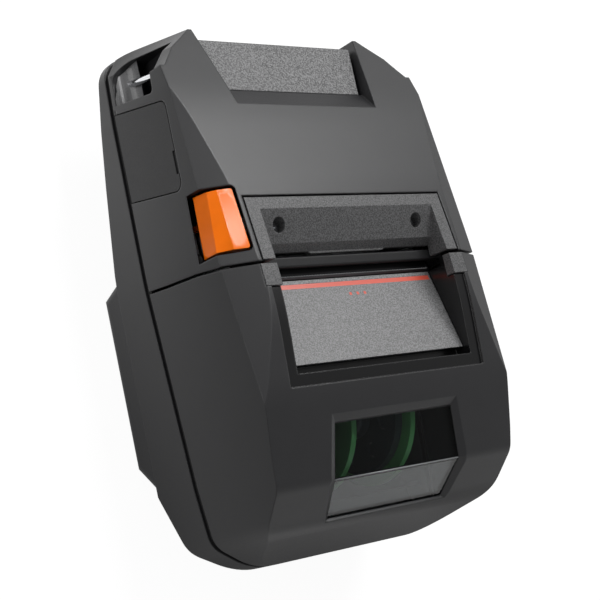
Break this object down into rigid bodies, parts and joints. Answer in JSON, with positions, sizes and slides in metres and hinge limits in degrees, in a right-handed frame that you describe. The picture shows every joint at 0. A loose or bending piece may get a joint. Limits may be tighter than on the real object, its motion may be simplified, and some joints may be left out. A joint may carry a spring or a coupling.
{
  "type": "portable label printer",
  "caption": "Handheld thermal label printer with a hinged roll cover, a clear window, an orange release lever, an exit ramp, strap bars and a clip-on battery.",
  "frame": {"origin": "under the middle of the bounding box, on the plane that the battery rests on", "axes": "+X to the button side, +Y along the length to the strap end, +Z out of the front with the window"},
  "size_m": [0.116, 0.184, 0.0851],
  "materials": {
    "shell": "fine grain",
    "trim": "satin",
    "plate": "coarse grain",
    "gasket": "matt",
    "steel": "brushed",
    "bar": "polished",
    "window": "clear",
    "orange": "glossy",
    "red": "glossy",
    "green": "glossy",
    "hub": "satin",
    "platen_rubber": "matt",
    "gear": "matt",
    "board": "satin",
    "ceramic": "glossy",
    "aluminium": "satin",
    "contact": "bright",
    "cell": "glossy",
    "motor_can": "satin",
    "light": "clear",
    "button": "matt"
  },
  "bodies": {
    "base": {"back_shell": "shell", "front_shell": "shell", "rear_plate": "plate", "seam_gasket": "gasket", "bezel_frame": "trim", "bezel_screws": "steel", "exit_lip": "trim", "strap_bars": "bar", "inner_frame": "steel", "frame_screws": "steel", "main_board": "board", "battery_contacts": "contact", "usb_socket": "steel", "dc_socket": "trim", "button_board": "board", "status_lights": "light", "case_screws": "steel", "antenna_board": "board", "motor": "motor_can", "media_sensor": "trim", "hinge_pin": "steel", "idler_axle": "steel", "head_pivot_pin": "steel", "latch_spring": "steel", "roll_cradle": "trim"},
    "cover": {"roll_cover": "shell", "cover_window": "window", "exit_ramp": "plate", "ramp_stripe": "red", "ramp_dots": "red", "cover_tabs": "trim", "tear_bar": "steel", "platen_frame": "steel", "platen_bushes": "gear"},
    "platen": {"platen_roller": "platen_rubber", "platen_shaft": "steel", "platen_gear": "gear"},
    "idler": {"idler_gear": "gear"},
    "motor_rotor": {"motor_pinion": "contact"},
    "guide_left": {"roll_guide_left": "green"},
    "guide_right": {"roll_guide_right": "green"},
    "hub_left": {"roll_hub_left": "hub"},
    "hub_right": {"roll_hub_right": "hub"},
    "centring_pinion": {"guide_pinion": "gear"},
    "lever": {"release_lever": "orange"},
    "latch": {"latch_shaft": "steel"},
    "flap": {"usb_flap": "button"},
    "battery": {"battery_case": "shell", "battery_cells": "cell"},
    "battery_catch": {"battery_latch": "trim"},
    "feed": {"feed_button": "button"},
    "wireless": {"wireless_button": "button"},
    "power": {"power_button": "button"},
    "head": {"print_head": "ceramic", "head_heatsink": "aluminium", "head_springs": "steel"}
  },
  "joints": [
    {"name": "cover_hinge", "type": "hinge", "parent": "base", "child": "cover", "pos_m": [0, -0.09, 0.032], "axis": [1, 0, 0], "range_deg": [0, 95]},
    {"name": "platen_spin", "type": "hinge", "parent": "cover", "child": "platen", "pos_m": [0, -0.0055, 0.062], "axis": [1, 0, 0], "continuous": true},
    {"name": "idler_spin", "type": "hinge", "parent": "base", "child": "idler", "pos_m": [0.0511, -0.00108, 0.04956], "axis": [1, 0, 0], "continuous": true},
    {"name": "motor_spin", "type": "hinge", "parent": "base", "child": "motor_rotor", "pos_m": [0.0511, 0.00776, 0.04337], "axis": [1, 0, 0], "continuous": true},
    {"name": "guide_left_slide", "type": "slide", "parent": "base", "child": "guide_left", "axis": [-1, 0, 0], "range_m": [0, 0.025]},
    {"name": "guide_right_slide", "type": "slide", "parent": "base", "child": "guide_right", "axis": [1, 0, 0], "range_m": [0, 0.025]},
    {"name": "pinion_spin", "type": "hinge", "parent": "base", "child": "centring_pinion", "pos_m": [0, -0.046, 0.025], "axis": [0, 0, 1], "range_deg": [-342, 0]},
    {"name": "hub_left_spin", "type": "hinge", "parent": "guide_left", "child": "hub_left", "pos_m": [-0.011, -0.046, 0.0485], "axis": [1, 0, 0], "continuous": true},
    {"name": "hub_right_spin", "type": "hinge", "parent": "guide_right", "child": "hub_right", "pos_m": [0.011, -0.046, 0.0485], "axis": [1, 0, 0], "continuous": true},
    {"name": "lever_press", "type": "slide", "parent": "base", "child": "lever", "axis": [0.6, 0, -0.8], "range_m": [0, 0.0025], "stiffness_N_per_m": 800, "springref_m": -0.001},
    {"name": "latch_turn", "type": "hinge", "parent": "base", "child": "latch", "pos_m": [0, 0.011, 0.057], "axis": [1, 0, 0], "range_deg": [-12.1, 0]},
    {"name": "flap_hinge", "type": "hinge", "parent": "base", "child": "flap", "pos_m": [-0.057, 0.054, 0.0376], "axis": [0, -1, 0], "range_deg": [0, 95]},
    {"name": "battery_slide", "type": "slide", "parent": "base", "child": "battery", "axis": [0, 0, -1], "range_m": [0, 0.025]},
    {"name": "battery_catch_slide", "type": "slide", "parent": "battery", "child": "battery_catch", "axis": [0, 1, 0], "range_m": [0, 0.0015], "stiffness_N_per_m": 300, "springref_m": -0.001},
    {"name": "head_pivot", "type": "hinge", "parent": "base", "child": "head", "pos_m": [0, 0.003, 0.0534], "axis": [1, 0, 0], "range_deg": [-1.2, 0], "stiffness_Nm_per_rad": 5, "springref_deg": 2.29},
    {"name": "feed_press", "type": "slide", "parent": "base", "child": "feed", "axis": [-1, 0, 0], "range_m": [0, 0.0008], "stiffness_N_per_m": 1000, "springref_m": -0.0004},
    {"name": "wireless_press", "type": "slide", "parent": "base", "child": "wireless", "axis": [-1, 0, 0], "range_m": [0, 0.0008], "stiffness_N_per_m": 1000, "springref_m": -0.0004},
    {"name": "power_press", "type": "slide", "parent": "base", "child": "power", "axis": [-1, 0, 0], "range_m": [0, 0.0008], "stiffness_N_per_m": 1000, "springref_m": -0.0004}
  ],
  "couplings": [
    {"joint": "idler_spin", "follows": "platen_spin", "ratio": -0.83333},
    {"joint": "motor_spin", "follows": "platen_spin", "ratio": 1.6667},
    {"joint": "guide_right_slide", "follows": "guide_left_slide", "ratio": 1},
    {"joint": "pinion_spin", "follows": "guide_left_slide", "rad_per_m": -238.1},
    {"joint": "latch_turn", "follows": "lever_press", "rad_per_m": -84}
  ]
}
